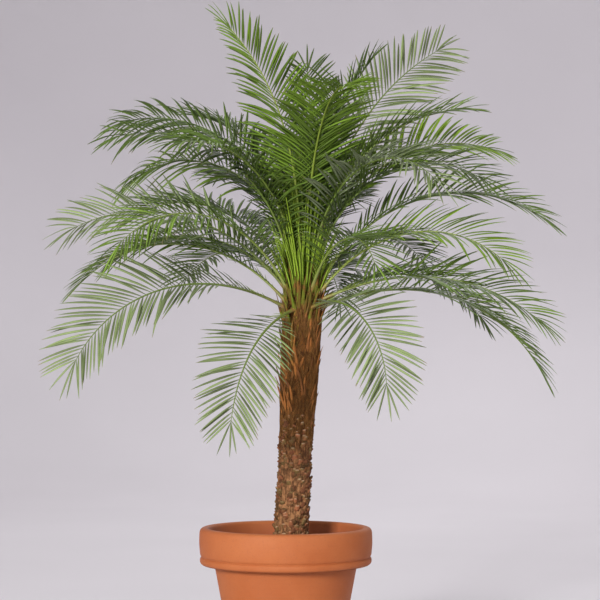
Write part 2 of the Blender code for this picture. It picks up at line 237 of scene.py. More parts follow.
# Where on the stalk the pairs of spines stand, points along a spine, and its section
SPINE_PLACES = (0.075, 0.100, 0.125, 0.148)
SPINE_SHARES = np.array((0.0, 0.4, 0.8, 1.0))
SPINE_TAPER = np.array((1.2, 1.0, 0.6, 0.05))
SPINE_THICKNESS = 0.0010
SPINE_CORNERS = 4

HEART_BLADE_WIDTH = 0.0068

# Stage, an open bowl, then the camera, and where the lights aim
STAGE_RADIUS = 8.5
STAGE_HEIGHT = 11.0
STAGE_ROUND = 3.0
STAGE_WALL = 0.1
STAGE_UNDERSIDE = 0.05
CAMERA_LENS = 87.6
CAMERA_SENSOR = 36.0
CAMERA_END = 60.0
CAMERA_X = 0.0327
CAMERA_DISTANCE = 3.4
CAMERA_LEVEL = 0.64
CAMERA_AIM_LEVEL = 0.8705
LIGHT_AIM = (0.03, 0.0, 0.85)

GOLDEN_ANGLE = 137.508
UPWARD = np.array((0.0, 0.0, 1.0))
SEED = 41


def colour_setting(name, description, default):
    """A colour that a user may change."""
    return bpy.props.FloatVectorProperty(
        name=name, description=description, subtype="COLOR", default=default, min=0.0, max=1.0)


def count_setting(name, description, default, most):
    """How many of a thing there are, from none to most."""
    return bpy.props.IntProperty(
        name=name, description=description, default=default, min=0, max=most)


def length_setting(name, description, default, least, most):
    """A length, in metres."""
    return bpy.props.FloatProperty(
        name=name, description=description, default=default, min=least, max=most, unit="LENGTH")


def power_setting(name, description, default):
    """The power of a light, in watts."""
    return bpy.props.FloatProperty(
        name=name, description=description, default=default, min=0.0, unit="POWER")


class PotSettings(bpy.types.PropertyGroup):
    """What a user may change on the pot and its filling."""

    sides: bpy.props.IntProperty(
        name="Sides", description="Facets round the pot", default=192, min=24, max=512)
    bead: length_setting("Bead", "How far the rim's lower bead stands out", 0.0040, 0.0, 0.006)
    grains: count_setting("Grains", "Loose grains on the soil", 1500, 6000)
    clay: colour_setting("Clay", "Colour of the fired clay", (0.384, 0.094, 0.018))
    clay_pale: colour_setting("Pale clay", "Colour of the clay's bloom", (0.446, 0.129, 0.034))
    earth: colour_setting("Earth", "Colour of the potting soil", (0.030, 0.018, 0.011))


class TrunkSettings(bpy.types.PropertyGroup):
    """What a user may change on the trunk."""

    stubs: count_setting("Stubs", "Old leaf stubs on the lower trunk", 430, 900)
    boots: count_setting("Leaf bases", "Long leaf bases on the upper trunk", 420, 900)
    sheaths: count_setting("Sheaths", "Green leaf sheaths under the crown", 120, 300)
    fibres: count_setting("Fibres", "Loose fibres round the trunk", 3200, 6000)
    stub_length: length_setting("Stub length", "How long a leaf stub is", 0.0105, 0.004, 0.030)
    # The dark in the bark's clefts is painted shade
    bark_cleft_shade: colour_setting("Dark bark", "Colour in the bark's clefts", (0.062, 0.025, 0.011))
    bark_grey: colour_setting("Weathered bark", "Colour of the old bark low down",
                              (0.400, 0.190, 0.080))
    stub_olive: colour_setting("Olive stubs", "Colour of the olive patches on the old stubs",
                               (0.280, 0.175, 0.060))
    bark_red: colour_setting("Red bark", "Colour of the younger bark high up",
                             (0.430, 0.158, 0.036))


class FrondSettings(bpy.types.PropertyGroup):
    """What a user may change on the fronds."""

    leaflet_spacing: length_setting("Leaflet spacing", "From one leaflet to the next on a side",
                                    0.0125, 0.006, 0.040)
    leaflet_width: length_setting("Leaflet width", "Width of a leaflet laid flat",
                                  0.0080, 0.003, 0.020)
    fold: bpy.props.FloatProperty(
        name="Fold", description="How steeply a leaflet's halves fold up",
        default=math.radians(26), min=0.0, max=math.radians(70), subtype="ANGLE")
    droop: bpy.props.FloatProperty(
        name="Droop", description="How far a leaflet's tip hangs, as a share of its length",
        default=LEAFLET_FALL, min=0.0, max=0.6, subtype="FACTOR")
    heart_blades: count_setting("Heart blades", "Young blades round the heart", 260, 600)
    young: colour_setting("Young green", "Colour of the young blades round the heart",
                          (0.290, 0.440, 0.028))
    # Deep green: a darker copy of the leaflet green, painted shade on shaded fronds
    deep: colour_setting("Deep green", "Colour of the shaded old leaflets", (0.068, 0.114, 0.019))
    fresh: colour_setting("Fresh green", "Colour of the bright leaflets", (0.190, 0.320, 0.020))
    mid: colour_setting("Mid green", "Colour of most leaflets", (0.132, 0.218, 0.028))
    # Pale green: partly the greyish underside, partly painted sheen
    pale: colour_setting("Pale green", "Colour of the greyish leaflets", (0.200, 0.260, 0.105))
    stalk: colour_setting("Stalk green", "Colour of the ribs and leaf stalks",
                          (0.330, 0.400, 0.070))


class StageSettings(bpy.types.PropertyGroup):
    """What a user may change on the stage."""

    floor: colour_setting("Floor", "Colour of the floor and backdrop", (0.74, 0.715, 0.745))
    key: power_setting("Key light", "Power of the main light", 87.0)
    fill: power_setting("Fill light", "Power of the second light", 50.0)
    rear: power_setting("Rear light", "Power of the light from behind", 110.0)
    sky: bpy.props.FloatProperty(
        name="Sky", description="Strength of the light from all round", default=0.70, min=0.0)


def turn_loops(rows, columns, first=0):
    """Four-sided faces of a grid that closes on itself across: (rows - 1) x columns of them."""
    row = np.arange(rows - 1)[:, None] * columns
    here = np.arange(columns)[None, :]
    after = (here + 1) % columns
    faces = np.stack((row + here, row + after, row + columns + after, row + columns + here), -1)
    return first + faces.reshape(-1, 4)


def copies(faces, count, step):
    """The same faces for every one of count equal shapes whose points are step apart."""
    shifts = np.arange(count)[:, None, None] * step
    return (faces[None] + shifts).reshape(-1, faces.shape[-1])


def add_piece(name, points, face_groups, looks, nodes, parts=None):
    """One piece of the palm from whole arrays: points, faces of one size per group, materials.

    parts, if given, holds the material number of every face, group after group.
    """
    mesh = bpy.data.meshes.new(name)
    points = np.ascontiguousarray(points.reshape(-1, 3), dtype=np.float32)
    sizes = np.concatenate([np.full(len(group), group.shape[1]) for group in face_groups])
    corners = np.concatenate([group.reshape(-1) for group in face_groups]).astype(np.int32)
    starts = np.concatenate(([0], np.cumsum(sizes)[:-1])).astype(np.int32)
    mesh.vertices.add(len(points))
    mesh.vertices.foreach_set("co", points.reshape(-1))
    mesh.loops.add(len(corners))
    mesh.loops.foreach_set("vertex_index", corners)
    mesh.polygons.add(len(sizes))
    mesh.polygons.foreach_set("loop_start", starts)
    for look in looks:
        mesh.materials.append(look)
    if parts is not None:
        mesh.polygons.foreach_set("material_index", np.asarray(parts, dtype=np.int32))
    mesh.polygons.foreach_set("use_smooth", np.ones(len(sizes), dtype=bool))
    mesh.update(calc_edges=True)
    if mesh.validate():
        raise RuntimeError(f"the mesh of {name} isn't sound")
    item = bpy.data.objects.new(name, mesh)
    bpy.context.scene.collection.objects.link(item)
    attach(item, BODY)
    if nodes:
        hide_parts(*nodes)
    return item


def set_map(item, across, along):
    """Writes a UV map from one value across and one along for every face corner."""
    layer = item.data.uv_layers.new(name="UVMap")
    pairs = np.stack((across, along), -1).astype(np.float32)
    layer.data.foreach_set("uv", pairs.reshape(-1))


def set_tint(item, values):
    """Writes the attribute tint, one number between 0 and 1 for every point."""
    made = item.data.attributes.new("tint", "FLOAT", "POINT")
    made.data.foreach_set("value", np.asarray(values, dtype=np.float32))


def smooth_noise(across, along, columns, seed):
    """Value noise on a lattice that closes across: columns cells round, unit cells along.

    Each lattice point holds a random height, and between them the height follows the smooth
    step 3s^2 - 2s^3 both ways.
    """
    rows = int(np.max(along)) + 3
    table = np.random.default_rng(seed).uniform(-1.0, 1.0, (rows, columns))
    column = np.floor(across).astype(int)
    row = np.floor(along).astype(int)
    part_x = across - column
    part_y = along - row
    part_x = part_x * part_x * (3.0 - 2.0 * part_x)
    part_y = part_y * part_y * (3.0 - 2.0 * part_y)
    here = column % columns
    after = (column + 1) % columns
    low = table[row, here] * (1.0 - part_x) + table[row, after] * part_x
    high = table[row + 1, here] * (1.0 - part_x) + table[row + 1, after] * part_x
    return low * (1.0 - part_y) + high * part_y


def toned(colour, factor):
    """A colour made darker or lighter by a factor, held at 1."""
    return tuple(min(1.0, factor * part) for part in colour)


class Nodes:
    """A short way to write a material's nodes."""

    def __init__(self, name):
        self.material = bpy.data.materials.new(name)
        self.material.use_nodes = True
        self.tree = self.material.node_tree
        self.shader = self.tree.nodes["Principled BSDF"]
        self.place = self.add("ShaderNodeTexCoord").outputs["Object"]

    def add(self, kind, inputs=None, **settings):
        """A new node with its settings and inputs; an input is a value or another's output."""
        made = self.tree.nodes.new(kind)
        for key, value in settings.items():
            setattr(made, key, value)
        for key, value in (inputs or {}).items():
            self.put(made, key, value)
        return made

    def put(self, made, key, value):
        """Sets one input to a value, or links it to an output; a colour gets its fourth part."""
        socket = made.inputs[key]
        if isinstance(value, bpy.types.NodeSocket):
            self.tree.links.new(value, socket)
        elif hasattr(value, "__len__") and len(value) == 3 and len(socket.default_value) == 4:
            socket.default_value = (*value, 1.0)
        else:
            socket.default_value = value

    def tint(self):
        """The attribute tint of the piece."""
        return self.add("ShaderNodeAttribute", attribute_name="tint").outputs["Fac"]

    def parted(self, vector):
        """The X, Y and Z of a vector, by name."""
        return self.add("ShaderNodeSeparateXYZ", {"Vector": vector}).outputs

    def chart(self):
        """Across and along of the piece's UV map, by the names X and Y."""
        return self.parted(self.add("ShaderNodeUVMap", uv_map="UVMap").outputs["UV"])

    def scaled(self, *scale):
        """The piece's own coordinates, each scaled by its own factor."""
        made = self.add("ShaderNodeMapping", {"Vector": self.place, "Scale": scale})
        return made.outputs["Vector"]

    def noise(self, scale, detail=4.0, roughness=0.55, place=None, distortion=0.0):
        """Soft noise between 0 and 1 on the piece's own coordinates."""
        made = self.add("ShaderNodeTexNoise", {
            "Vector": place or self.place, "Scale": scale, "Detail": detail,
            "Roughness": roughness, "Distortion": distortion})
        return made.outputs["Fac"]

    def levels(self, value, low, high, start=0.0, end=1.0):
        """Stretches low..high to start..end, held at the ends."""
        made = self.add("ShaderNodeMapRange", {
            "Value": value, "From Min": low, "From Max": high, "To Min": start, "To Max": end})
        return made.outputs["Result"]

    def wander(self, reach, *noise):
        """Noise that swings from -reach to reach."""
        return self.levels(self.noise(*noise), 0.3, 0.7, -reach, reach)

    def mix(self, share, first, second):
        """Mixes two colours by a share."""
        made = self.add("ShaderNodeMix", data_type="RGBA")
        for key, value in ((0, share), (6, first), (7, second)):
            self.put(made, key, value)
        return made.outputs[2]

    def math(self, kind, *values):
        """One sum on one or two numbers."""
        made = self.add("ShaderNodeMath", operation=kind)
        for key, value in enumerate(values):
            self.put(made, key, value)
        return made.outputs[0]

    def plus(self, first, second):
        """The sum of two numbers."""
        return self.math("ADD", first, second)

    def times(self, first, second):
        """The product of two numbers."""
        return self.math("MULTIPLY", first, second)

    def bump(self, height, strength, distance, below=None):
        """Turns a height into a bump, on top of another one."""
        inputs = {"Height": height, "Strength": strength, "Distance": distance}
        if below is not None:
            inputs["Normal"] = below
        return self.add("ShaderNodeBump", inputs).outputs["Normal"]

    def finish(self, **inputs):
        """Links or sets the shader's sockets, written with _ for a space."""
        for key, value in inputs.items():
            self.put(self.shader, key.replace("_", " "), value)
        return self.material


def clay_look(settings):
    """Fired clay: warm, matt, faintly blotched, with fine pores, turning marks, damp and painted
    shade inside.
    """
    n = Nodes("fired_clay")
    speck_tone = (0.28, 0.075, 0.028)
    damp_and_shade_tone = (0.205, 0.034, 0.010)
    blotch = n.levels(n.noise(6.0, 5.0, 0.6), 0.35, 0.68)
    colour = n.mix(blotch, settings.clay, settings.clay_pale)
    speck = n.levels(n.noise(260.0, 2.0, 0.7), 0.56, 0.72)
    colour = n.mix(n.times(speck, 0.35), colour, speck_tone)
    # Damp and painted shade: the inner wall darkens downward by the pot's tint
    damp_and_shade = n.times(n.tint(), n.levels(n.noise(11.0, 4.0), 0.25, 0.6, 0.55, 0.95))
    colour = n.mix(damp_and_shade, colour, damp_and_shade_tone)
    marks = n.noise(7.0, 3.0, 0.5, n.scaled(0.6, 0.6, 30.0))
    normal = n.bump(marks, 0.30, 0.0012)
    normal = n.bump(n.noise(420.0, 3.0, 0.6), 0.35, 0.0006, normal)
    rough = n.levels(n.noise(14.0, 4.0), 0.3, 0.7, 0.62, 0.80)
    return n.finish(Base_Color=colour, Roughness=rough, Normal=normal)


def earth_look(settings):
    """Potting soil: dark crumbs with paler bits of fibre."""
    n = Nodes("potting_soil")
    bit_tone = (0.130, 0.080, 0.045)
    crumb = n.levels(n.noise(90.0, 6.0, 0.7), 0.35, 0.7)
    colour = n.mix(crumb, toned(settings.earth, 0.5), settings.earth)
    bits = n.levels(n.noise(210.0, 2.0, 0.6), 0.66, 0.72)
    colour = n.mix(bits, colour, bit_tone)
    normal = n.bump(n.noise(160.0, 6.0, 0.75), 0.9, 0.004)
    return n.finish(Base_Color=colour, Roughness=0.95, Normal=normal)


def greened_and_left_shaded(n, level, below, above):
    """How green the trunk is: up towards the crown, and sooner on the left side as painted shade.
    """
    # Painted shade: the green comes lower on the left side
    left_shade_shift = n.times(n.parted(n.place)["X"], -1.6)
    return n.levels(n.plus(level, left_shade_shift), CROWN_LEVEL + below, CROWN_LEVEL + above)


def bark_look(settings):
    """Trunk ground: grey-brown and knobby low down, red-brown fibre above, green at the heart;
    painted shade in the clefts.
    """
    n = Nodes("bark")
    green_tone = (0.170, 0.190, 0.022)
    level = n.plus(n.parted(n.place)["Z"], n.wander(0.05, 18.0, 3.0))
    tone = n.mix(n.levels(level, 0.46, 0.66), settings.bark_grey, settings.bark_red)
    tall = n.scaled(1.0, 1.0, 0.22)
    streak = n.wander(0.09, 70.0, 3.0, 0.5, tall)
    # Green near the crown, coming lower on the left side as painted shade
    tone = n.mix(greened_and_left_shaded(n, n.plus(level, streak), -0.160, 0.010), tone, green_tone)
    # Painted shade: the bark darkens towards the cleft colour where its strands and patches sink
    strand = n.levels(n.noise(220.0, 5.0, 0.65, tall, 0.6), 0.32, 0.66)
    patch = n.levels(n.noise(55.0, 5.0, 0.6), 0.36, 0.66)
    depth = n.times(strand, n.plus(0.35, patch))
    colour = n.mix(n.levels(depth, 0.05, 0.75), settings.bark_cleft_shade, tone)
    normal = n.bump(strand, 0.8, 0.0025)
    normal = n.bump(patch, 0.6, 0.003, normal)
    return n.finish(Base_Color=colour, Roughness=0.88, Normal=normal,
                    Specular_IOR_Level=DULL_SHEEN)


def stub_look(name, tone, dark, end, olive=None, other=None):
    """A dead leaf base: own tint, long dry grain with painted shade in its grooves, a torn end in
    its own tone.

    Patches of another tone, and olive near the crown that comes lower on the left as painted shade,
    are optional.
    """
    n = Nodes(name)
    tint = n.tint()
    grain = n.levels(n.noise(300.0, 4.0, 0.6, n.scaled(1.0, 1.0, 0.18)), 0.3, 0.7)
    share = n.times(n.levels(tint, 0.0, 1.0, 0.30, 1.45), n.levels(grain, 0.0, 1.0, 0.40, 1.0))
    if other is not None:
        tone = n.mix(n.levels(n.noise(45.0, 2.0), 0.42, 0.58), tone, other)
    if olive is not None:
        level = n.plus(n.parted(n.place)["Z"], n.wander(0.10, 35.0, 2.0))
        # Olive near the crown, coming lower on the left side as painted shade
        tone = n.mix(greened_and_left_shaded(n, level, -0.150, -0.020), tone, olive)
    # Painted shade: each base darkens in the grooves of its grain, on top of its own tint
    colour = n.mix(share, dark, tone)
    # The torn end's tone; on the old stubs it is paler, a painted highlight on their tips
    torn_end_and_highlight = n.times(n.levels(n.chart()["Y"], 0.72, 1.0), n.levels(tint, 0.45, 1.0, 0.0, 0.9))
    colour = n.mix(torn_end_and_highlight, colour, end)
    return n.finish(Base_Color=colour, Roughness=0.82, Normal=n.bump(grain, 0.6, 0.0012),
                    Specular_IOR_Level=0.20)


def fibre_look(name, tone, dark):
    """Dry fibre: each strand its own tint between two browns."""
    n = Nodes(name)
    colour = n.mix(n.plus(n.tint(), n.wander(0.2, 60.0, 3.0)), dark, tone)
    return n.finish(Base_Color=colour, Roughness=0.75, Specular_IOR_Level=DULL_SHEEN)


def leaf_look(name, tone, gloss, under, foot=0.45):
    """A leaflet: own tint, painted shade at its foot, pale midrib, fine veins, a dull underside,
    dry tip.

    The UV map's X runs round the leaflet, its top side below 0.5 and its underside above.
    """
    n = Nodes(name)
    rib_tone = (0.36, 0.42, 0.16)
    dry_tone = (0.26, 0.20, 0.10)
    chart = n.chart()
    across, along = chart["X"], chart["Y"]
    tint = n.tint()
    colour = n.mix(n.plus(tint, n.wander(0.25, 9.0, 3.0)), toned(tone, 0.42), toned(tone, 1.55))
    # Painted shade: the leaflet darkens towards its foot at the rib, as strongly as foot says
    colour = n.mix(n.levels(along, 0.0, 0.45, foot, 0.0), colour, toned(tone, 0.30))
    colour = n.mix(n.times(n.levels(across, 0.499, 0.501), 0.55), colour, under)
    middle = n.math("ABSOLUTE", n.math("SUBTRACT", across, 0.25))
    colour = n.mix(n.levels(middle, 0.012, 0.030, 0.45, 0.0), colour, rib_tone)
    dry = n.levels(n.plus(along, n.wander(0.05, 30.0, 2.0)), 0.93, 1.0)
    colour = n.mix(dry, colour, dry_tone)
    vein = n.math("SINE", n.times(across, 150.0))
    rough = n.levels(tint, 0.0, 1.0, gloss - 0.06, gloss + 0.08)
    return n.finish(Base_Color=colour, Roughness=rough, Normal=n.bump(vein, 0.16, 0.0004),
                    Specular_IOR_Level=DULL_SHEEN)


def stalk_look(settings):
    """Ribs and leaf stalks: brown at the foot, then yellow-green, and leaf green further out."""
    n = Nodes("leaf_stalk")
    dull_tone = (0.090, 0.105, 0.030)
    streak_tone = (0.17, 0.21, 0.06)
    leafy_dark = (0.095, 0.160, 0.026)
    leafy_light = (0.225, 0.300, 0.034)
    foot_tone = (0.30, 0.16, 0.045)
    along = n.chart()["Y"]
    tint = n.tint()
    colour = n.mix(n.levels(tint, 0.0, 1.0, 0.0, 0.9), dull_tone, settings.stalk)
    streak = n.levels(n.noise(80.0, 3.0), 0.35, 0.7, 0.0, 0.30)
    colour = n.mix(streak, colour, streak_tone)
    leafy = n.mix(tint, leafy_dark, leafy_light)
    colour = n.mix(n.levels(along, 0.10, 0.34, 0.0, 0.85), colour, leafy)
    foot = n.levels(n.plus(along, n.wander(0.03, 45.0, 3.0)), 0.0, 0.085, 1.0, 0.0)
    colour = n.mix(foot, colour, foot_tone)
    normal = n.bump(n.noise(240.0, 2.0), 0.15, 0.0006)
    return n.finish(Base_Color=colour, Roughness=0.46, Normal=normal)


def stage_look(settings):
    """Plain pale paint with a barely seen unevenness."""
    n = Nodes("pale_stage")
    share = n.levels(n.noise(0.7, 2.0), 0.3, 0.7)
    colour = n.mix(share, settings.floor, toned(settings.floor, 1.04))
    return n.finish(Base_Color=colour, Roughness=1.0, Specular_IOR_Level=0.0)


def eased(corners, steps=6):
    """A profile whose corners, each a radius, a height and a rounding r, are cut by curves.

    The profile leaves a corner at c - r towards the corner before and comes back at c + r
    towards the one after, along (1-t)^2 p + 2t(1-t) c + t^2 q.
    """
    places = np.asarray(corners)[:, :2]
    share = np.linspace(0.0, 1.0, steps)[:, None]
    made = []
    for order, (corner, (_, _, rounding)) in enumerate(zip(places, corners)):
        if rounding == 0.0:
            made.append(corner[None])
            continue
        start = corner + rounding * unit(places[order - 1] - corner)
        stop = corner + rounding * unit(places[order + 1] - corner)
        made.append((1.0 - share) ** 2 * start + 2.0 * share * (1.0 - share) * corner
                    + share ** 2 * stop)
    return np.concatenate(made)


def end_fans(rows, columns):
    """Triangles that close a grid of rows at its two ends, round the two points added last."""
    here = np.arange(columns)
    after = (here + 1) % columns
    base = (rows - 1) * columns
    first = np.full(columns, rows * columns)
    start = np.stack((first, after, here), -1)
    end = np.stack((first + 1, base + here, base + after), -1)
    return np.concatenate((start, end))


def turned(profile, sides):
    """Points and faces of a profile turned about Z: (r cos a, r sin a, z), closed at the axis.

    The profile's ends lie on the axis; each becomes one point with a fan of triangles.
    """
    angle = np.linspace(0.0, 2.0 * math.pi, sides, endpoint=False)
    rings = profile[1:-1]
    points = np.stack((rings[:, :1] * np.cos(angle), rings[:, :1] * np.sin(angle),
                       np.broadcast_to(rings[:, 1:], (len(rings), sides))), -1).reshape(-1, 3)
    poles = ((0.0, 0.0, profile[0, 1]), (0.0, 0.0, profile[-1, 1]))
    points = np.concatenate((points, poles))
    return points, turn_loops(len(rings), sides), end_fans(len(rings), sides)


def level_ray(bearing):
    """Level directions at bearings: (cos a, sin a, 0)."""
    return np.stack((np.cos(bearing), np.sin(bearing), np.zeros_like(bearing)), -1)


def around(count, first=0.0):
    """Angles of count corners spaced evenly round a section."""
    return 2.0 * np.pi * np.arange(count) / count + first


def carried(path, across, over, section):
    """Points of a section carried along paths: path + x across + y over.

    path, across and over hold (shape, step, 3), section holds (shape or 1, step, corner, 2).
    """
    return (path[:, :, None] + section[..., 0:1] * across[:, :, None]
            + section[..., 1:2] * over[:, :, None])


def carried_faces(count, steps, corners):
    """Faces of count carried sections: the sides, and one flat face at each end."""
    sides = copies(turn_loops(steps, corners), count, steps * corners)
    ring = np.arange(corners)
    ends = np.stack((ring[::-1], (steps - 1) * corners + ring))
    return sides, copies(ends, count, steps * corners)


def unit(vectors):
    """Vectors brought to length one."""
    return vectors / np.linalg.norm(vectors, axis=-1, keepdims=True)


def frames_along(path, side):
    """Across and over directions along paths, from the path's run and a wished side."""
    run = unit(np.gradient(path, axis=1))
    across = unit(side - run * np.sum(side * run, axis=-1, keepdims=True))
    return across, np.cross(run, across)


def trunk_centre(height):
    """Where the leaning trunk's axis is: x rises with the height by a fixed slope."""
    height = np.asarray(height, dtype=float)
    slope = TRUNK_FOOT_X + TRUNK_LEAN * (height - SOIL_LEVEL)
    return np.stack((slope, np.zeros_like(height), height), -1)


def trunk_radius(height):
    """The trunk's radius: flare, slim shaft, shoulder, crown and heart, in straight runs."""
    heights = (SOIL_LEVEL, SOIL_LEVEL + FLARE_HEIGHT, STUB_TOP_LEVEL, SHOULDER_LEVEL, CROWN_LEVEL,
               0.5 * (CROWN_LEVEL + HEART_TIP_LEVEL), HEART_TIP_LEVEL)
    radii = (FLARE_RADIUS, 1.06 * TRUNK_RADIUS, TRUNK_RADIUS, SHOULDER_RADIUS, CROWN_RADIUS,
             0.66 * CROWN_RADIUS, HEART_TIP_RADIUS)
    return np.interp(height, heights, radii)


def round_trunk(angle, height, off=0.0):
    """A point on the trunk: its axis + (radius + off)(cos a, sin a, 0)."""
    return trunk_centre(height) + (trunk_radius(height) + off)[..., None] * level_ray(angle)


def frond_rows():
    """All fronds, front and back: the table's rows, then the back's, dealt out by rule."""
    rows = list(FRONT_FRONDS)
    for order in range(BACK_COUNT):
        share = order / (BACK_COUNT - 1)
        bearing = BACK_FIRST_BEARING + (order * BACK_BEARING_STEP) % BACK_SPREAD
        shape = (start + change * share for start, change in zip(BACK_FIRST, BACK_CHANGE))
        rows.append((bearing, *shape, BACK_LENGTH, 0.0, 0.0))
    return np.array(rows, dtype=float)


def rib_lines(rows):
    """Points, run, left and up of every frond's rib, each (frond, step, 3).

    The run has elevation rise - turn t^1.2 and bearing b + sweep t^1.5, its steps add up from
    the foot, and left and up are rolled by roll min(1, 2t) about it.
    """
    bearing, foot, rise, turn, length, sweep, roll = (column[:, None] for column in rows.T)
    share = RIB_SHARES[None]
    lift = np.radians(rise - turn * share ** BEND_POWER)
    face = np.radians(bearing + sweep * share ** SWEEP_POWER)
    run = np.stack((np.cos(lift) * np.cos(face), np.cos(lift) * np.sin(face), np.sin(lift)), -1)
    start = round_trunk(np.radians(bearing[:, 0]), foot[:, 0], -0.002)[:, None]
    steps = run[:, 1:] * (length / RIB_STEPS)[..., None]
    points = np.concatenate((start, start + np.cumsum(steps, axis=1)), axis=1)
    left = np.stack((-np.sin(face), np.cos(face), np.zeros_like(face)), -1)
    up = np.cross(run, left)
    rolled = np.radians(roll * np.minimum(1.0, 2.0 * share))[..., None]
    turned_left = left * np.cos(rolled) + up * np.sin(rolled)
    turned_up = up * np.cos(rolled) - left * np.sin(rolled)
    return points, run, turned_left, turned_up


def along_rib(lines, shares):
    """Values of one frond's rib lines at shares of its length, straight between the steps."""
    place = shares * RIB_STEPS
    low = np.minimum(place.astype(int), RIB_STEPS - 1)
    part = (place - low)[:, None]
    return [line[low] * (1.0 - part) + line[low + 1] * part for line in lines]


def folded_blades(width, fold):
    """Sections of blades at LEAF_SHARES: a shallow V of two halves, folded up by an angle.

    Its corners are one edge, the top of the midrib, the other edge and the midrib's underside.
    """
    reach_x = 0.5 * width * np.cos(fold)
    reach_y = 0.5 * width * np.sin(fold)
    thick = np.broadcast_to(0.5 * LEAF_THICKNESS * (0.3 + 0.7 * LEAF_WIDTHS), width.shape)
    nothing = np.zeros_like(width)
    corners = ((reach_x, reach_y), (nothing, thick), (-reach_x, reach_y), (nothing, -thick))
    return np.stack([np.stack(corner, -1) for corner in corners], 2)


def leaflet_shapes(lines, length, spacing, breadth, hang, crease, scatter, rng):
    """Paths, frames, sections and tints of one frond's leaflets.

    A leaflet leaves the rib at an angle that narrows towards the tip, lifted above the blade,
    and runs p(s) = base + L (s d + bow s^2 run) - droop L s^2 Z. Three more stand at the rib's
    tip. scatter tells how unevenly they stand.
    """
    pairs = round((1.0 - BARE_SHARE) * length / spacing)
    reach = (np.arange(pairs) + 0.5) / pairs
    reach = np.concatenate((reach, reach + 0.25 / pairs, (1.0, 1.0, 1.0)))
    hand = np.concatenate((np.ones(pairs), -np.ones(pairs), TIP_HANDS))
    count = len(hand)
    reach = np.clip(reach + rng.uniform(-0.2, 0.2, count) / pairs, 0.0, 1.0)
    share = BARE_SHARE + (1.0 - BARE_SHARE) * reach
    point, run, left, up = along_rib(lines, share)
    angle = LEAFLET_ANGLE_BASE + (LEAFLET_ANGLE_TIP - LEAFLET_ANGLE_BASE) * reach
    angle = np.radians(angle + scatter * rng.normal(0.0, ANGLE_SCATTER, count))
    angle = angle * np.minimum(1.0, np.abs(hand) + 0.1)
    lift = np.radians(LEAFLET_LIFT + scatter * rng.normal(0.0, LIFT_SCATTER, count))
    side = np.sign(hand)
    outward = (side * np.cos(lift))[:, None] * left + np.sin(lift)[:, None] * up
    direction = run * np.cos(angle)[:, None] + outward * np.sin(angle)[:, None]
    rising = 0.30 + 0.70 * np.sin(0.5 * np.pi * np.minimum(reach / FULL_LEAFLET_REACH, 1.0))
    size = (length / FULL_FROND_LENGTH) ** LEAFLET_GROWTH * rng.uniform(0.92, 1.03, count)
    reached = size * LEAFLET_LENGTH * rising * (1.0 - TIP_SHORTENING * reach ** 3)
    half = 0.5 * np.interp(share, RIB_PLACES, RIB_WIDTHS)
    base = point + (side * 0.55 * half)[:, None] * left
    s = LEAF_SHARES[None, :, None]
    bow = rng.normal(0.0, BOW_SCATTER, count)[:, None, None]
    path = (base[:, None] + reached[:, None, None]
            * (s * direction[:, None] + s ** 2 * bow * run[:, None]))
    droop = hang * rng.uniform(0.7, 1.5, count)
    path[..., 2] -= (droop * reached)[:, None] * LEAF_SHARES ** 2
    wished = -side[:, None, None] * np.broadcast_to(run[:, None], path.shape)
    across, over = frames_along(path, wished)
    twist = np.radians(rng.normal(0.0, TWIST_SCATTER, count))[:, None, None] * (0.4 + 0.6 * s)
    across, over = (across * np.cos(twist) + over * np.sin(twist),
                    over * np.cos(twist) - across * np.sin(twist))
    width = breadth * (reached / LEAFLET_LENGTH)[:, None] ** 0.5 * LEAF_WIDTHS
    section = folded_blades(width, np.minimum(crease * LEAF_FOLDS, STEEPEST_FOLD))
    return path, across, over, section, np.clip(rng.normal(0.5, 0.21, count), 0.0, 1.0)


def rib_sections(shares):
    """Sections of a rib at shares of its length: an egg with a ridge on top.

    Corner k at angle a: (w/2 cos a, d/2 sin a (1 + 0.35 max(sin a, 0)^3)).
    """
    angle = around(RIB_CORNERS, 0.5 * np.pi)
    width = 0.5 * np.interp(shares, RIB_PLACES, RIB_WIDTHS)[:, None]
    depth = 0.5 * np.interp(shares, RIB_PLACES, RIB_DEPTHS)[:, None]
    ridge = 1.0 + 0.35 * np.maximum(np.sin(angle), 0.0) ** 3
    return np.stack((width * np.cos(angle), depth * np.sin(angle) * ridge), -1)


def carried_map(count, along, corners):
    """UV values of carried sections: across runs round the section, along as given.

    along holds (shape or 1, step).
    """
    steps = along.shape[-1]
    along = np.broadcast_to(along, (count, steps))
    here = np.arange(corners) / corners
    after = here + 1.0 / corners
    x = np.stack((here, after, after, here), -1)
    x = np.broadcast_to(x, (count, steps - 1, corners, 4))
    low = np.broadcast_to(along[:, :-1, None], (count, steps - 1, corners))
    high = np.broadcast_to(along[:, 1:, None], (count, steps - 1, corners))
    y = np.stack((low, low, high, high), -1)
    end_x = np.full((count, 2, corners), 0.3)
    end_y = np.broadcast_to(along[:, (0, -1)][:, :, None], (count, 2, corners))
    return (np.concatenate((x.reshape(-1), end_x.reshape(-1))),
            np.concatenate((y.reshape(-1), end_y.reshape(-1))))


def carried_piece(name, shapes, along, looks, nodes, dealt=None):
    """One piece from many carried sections: shapes holds path, across, over, section, tint."""
    path, across, over, section, tint = shapes
    count, steps = path.shape[:2]
    corners = section.shape[2]
    points = carried(path, across, over, section)
    sides, ends = carried_faces(count, steps, corners)
    parts = None
    if dealt is not None:
        parts = np.concatenate((np.repeat(dealt, (steps - 1) * corners), np.repeat(dealt, 2)))
    item = add_piece(name, points, (sides, ends), looks, nodes, parts)
    set_map(item, *carried_map(count, along, corners))
    set_tint(item, np.repeat(tint, steps * corners))
    return item


def joined(batches):
    """Batches of shapes put together, array by array."""
    return [np.concatenate(arrays) for arrays in zip(*batches)]


